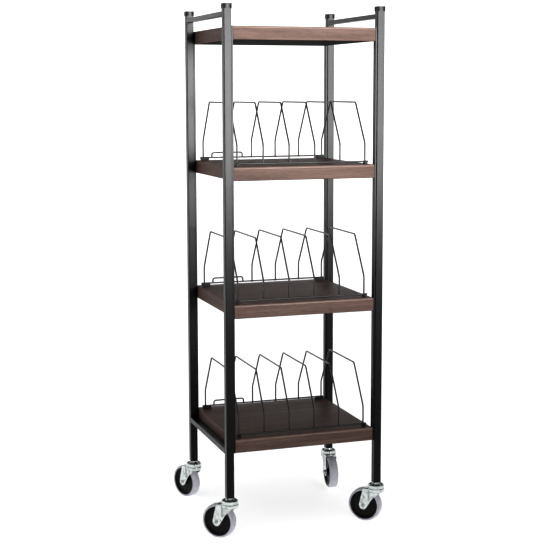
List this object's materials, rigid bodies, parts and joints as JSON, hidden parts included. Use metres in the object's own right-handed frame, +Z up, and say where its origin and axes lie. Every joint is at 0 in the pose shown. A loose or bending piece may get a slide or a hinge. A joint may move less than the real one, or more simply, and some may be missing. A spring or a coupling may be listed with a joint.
{
  "type": "medical chart rack",
  "caption": "Tall wheeled chart rack: black square posts carry wood-look shelves with wire dividers for upright binders, side handle bars and swivel casters.",
  "frame": {"origin": "on the floor below the middle of the whole rack, casters as shown included", "axes": "+Z up, -Y towards the front where binders go in, +X towards the right post seen from the front"},
  "size_m": [0.5462, 0.4989, 1.5126],
  "materials": {
    "black_steel": "satin black powder coat",
    "black_wire": "satin black powder coat",
    "black_plastic": "matte",
    "walnut_laminate": "satin walnut laminate",
    "black_backer": "matte backing sheet",
    "zinc_steel": "bright zinc plate",
    "black_wheel": "semi-gloss",
    "grey_tread": "matte"
  },
  "bodies": {
    "rack": {"post_front_left": "black_steel", "post_front_right": "black_steel", "post_rear_left": "black_steel", "post_rear_right": "black_steel", "shelf_strip_front_left": "black_steel", "shelf_strip_front_right": "black_steel", "shelf_strip_rear_left": "black_steel", "shelf_strip_rear_right": "black_steel", "post_caps": "black_plastic", "post_inserts": "black_plastic", "handle_bar_left": "black_steel", "lower_rail_left": "black_steel", "handle_bar_right": "black_steel", "lower_rail_right": "black_steel", "shelf_1": "walnut_laminate", "shelf_backer_1": "black_backer", "shelf_2": "walnut_laminate", "shelf_backer_2": "black_backer", "shelf_3": "walnut_laminate", "shelf_backer_3": "black_backer", "shelf_4": "walnut_laminate", "shelf_backer_4": "black_backer", "shelf_pins": "zinc_steel", "wire_rails_2": "black_wire", "dividers_2": "black_wire", "wire_rails_3": "black_wire", "dividers_3": "black_wire", "wire_rails_4": "black_wire", "dividers_4": "black_wire", "wire_clips": "black_plastic", "rear_hoops": "black_wire", "caster_stem_front_left": "zinc_steel", "caster_cup_front_left": "zinc_steel", "caster_stem_front_right": "zinc_steel", "caster_cup_front_right": "zinc_steel", "caster_stem_rear_left": "zinc_steel", "caster_cup_rear_left": "zinc_steel", "caster_stem_rear_right": "zinc_steel", "caster_cup_rear_right": "zinc_steel"},
    "swivel_front_left": {"caster_fork_front_left": "zinc_steel", "caster_axle_front_left": "zinc_steel", "caster_nut_front_left": "zinc_steel"},
    "wheel_front_left": {"wheel_core_front_left": "black_wheel", "wheel_tyre_front_left": "grey_tread"},
    "swivel_front_right": {"caster_fork_front_right": "zinc_steel", "caster_axle_front_right": "zinc_steel", "caster_nut_front_right": "zinc_steel"},
    "wheel_front_right": {"wheel_core_front_right": "black_wheel", "wheel_tyre_front_right": "grey_tread"},
    "swivel_rear_left": {"caster_fork_rear_left": "zinc_steel", "caster_axle_rear_left": "zinc_steel", "caster_nut_rear_left": "zinc_steel"},
    "wheel_rear_left": {"wheel_core_rear_left": "black_wheel", "wheel_tyre_rear_left": "grey_tread"},
    "swivel_rear_right": {"caster_fork_rear_right": "zinc_steel", "caster_axle_rear_right": "zinc_steel", "caster_nut_rear_right": "zinc_steel"},
    "wheel_rear_right": {"wheel_core_rear_right": "black_wheel", "wheel_tyre_rear_right": "grey_tread"}
  },
  "joints": [
    {"name": "swivel_front_left", "type": "hinge", "parent": "rack", "child": "swivel_front_left", "pos_m": [-0.202, -0.227, 0.103], "axis": [0, 0, 1], "continuous": true},
    {"name": "roll_front_left", "type": "hinge", "parent": "swivel_front_left", "child": "wheel_front_left", "pos_m": [-0.22604, -0.20296, 0.05], "axis": [-0.7071, -0.7071, 0], "continuous": true},
    {"name": "swivel_front_right", "type": "hinge", "parent": "rack", "child": "swivel_front_right", "pos_m": [0.252, -0.227, 0.103], "axis": [0, 0, 1], "continuous": true},
    {"name": "roll_front_right", "type": "hinge", "parent": "swivel_front_right", "child": "wheel_front_right", "pos_m": [0.22796, -0.20296, 0.05], "axis": [-0.7071, -0.7071, 0], "continuous": true},
    {"name": "swivel_rear_left", "type": "hinge", "parent": "rack", "child": "swivel_rear_left", "pos_m": [-0.202, 0.167, 0.103], "axis": [0, 0, 1], "continuous": true},
    {"name": "roll_rear_left", "type": "hinge", "parent": "swivel_rear_left", "child": "wheel_rear_left", "pos_m": [-0.21696, 0.19753, 0.05], "axis": [-0.898, -0.4399, 0], "continuous": true},
    {"name": "swivel_rear_right", "type": "hinge", "parent": "rack", "child": "swivel_rear_right", "pos_m": [0.252, 0.167, 0.103], "axis": [0, 0, 1], "continuous": true},
    {"name": "roll_rear_right", "type": "hinge", "parent": "swivel_rear_right", "child": "wheel_rear_right", "pos_m": [0.24774, 0.13327, 0.05], "axis": [0.9921, -0.1253, 0], "continuous": true}
  ]
}
